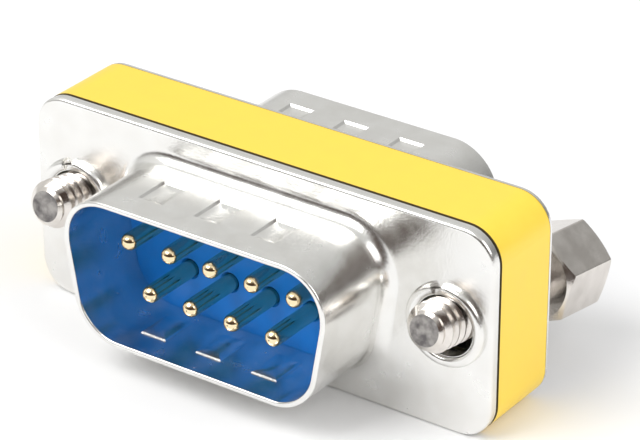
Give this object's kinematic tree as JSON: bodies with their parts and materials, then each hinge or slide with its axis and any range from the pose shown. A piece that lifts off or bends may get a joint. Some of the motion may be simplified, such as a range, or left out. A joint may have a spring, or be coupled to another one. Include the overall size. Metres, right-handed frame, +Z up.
{
  "type": "d-sub gender changer",
  "caption": "Slim connector adapter with a D-shaped pin plug on both sides of a thin banded body, wired straight through, with a captive hex-headed jackscrew at each end.",
  "frame": {"origin": "middle of the long edges that the part rests on, half way between the two flanges", "axes": "+X along the plugs, -Y out of the front plug, +Z up"},
  "size_m": [0.0308, 0.0191, 0.0125],
  "materials": {
    "tin_plate": "bright tin plate, slightly wavy from drawing",
    "blue_plastic": "moulded, satin",
    "cream_plastic": "moulded",
    "yellow_film": "smooth printed film, left plain",
    "gold_plate": "thin gold plate",
    "nickel_plate": "nickel plated, satin",
    "spring_steel": "oiled spring steel"
  },
  "bodies": {
    "root": {"front_shell": "tin_plate", "rear_shell": "tin_plate", "front_inner_plate": "tin_plate", "rear_inner_plate": "tin_plate", "front_insulator": "blue_plastic", "rear_insulator": "blue_plastic", "spacer_frame": "cream_plastic", "yellow_wrap": "yellow_film", "contact_1": "gold_plate", "contact_2": "gold_plate", "contact_3": "gold_plate", "contact_4": "gold_plate", "contact_5": "gold_plate", "contact_6": "gold_plate", "contact_7": "gold_plate", "contact_8": "gold_plate", "contact_9": "gold_plate"},
    "left_slider": {"left_clip": "spring_steel"},
    "left_screw": {"left_jackscrew": "nickel_plate"},
    "right_slider": {"right_clip": "spring_steel"},
    "right_screw": {"right_jackscrew": "nickel_plate"}
  },
  "joints": [
    {"name": "left_screw_slide", "type": "slide", "parent": "root", "child": "left_slider", "axis": [0, -0.9864, 0.1643], "range_m": [-0.0008, 0.001]},
    {"name": "left_screw_spin", "type": "hinge", "parent": "left_slider", "child": "left_screw", "pos_m": [-0.01249, 0, 0.00625], "axis": [0, 0.9864, -0.1643], "continuous": true},
    {"name": "right_screw_slide", "type": "slide", "parent": "root", "child": "right_slider", "axis": [0, -0.9864, 0.1643], "range_m": [0, 0.0018]},
    {"name": "right_screw_spin", "type": "hinge", "parent": "right_slider", "child": "right_screw", "pos_m": [0.01249, 0, 0.00625], "axis": [0, 0.9864, -0.1643], "continuous": true}
  ]
}
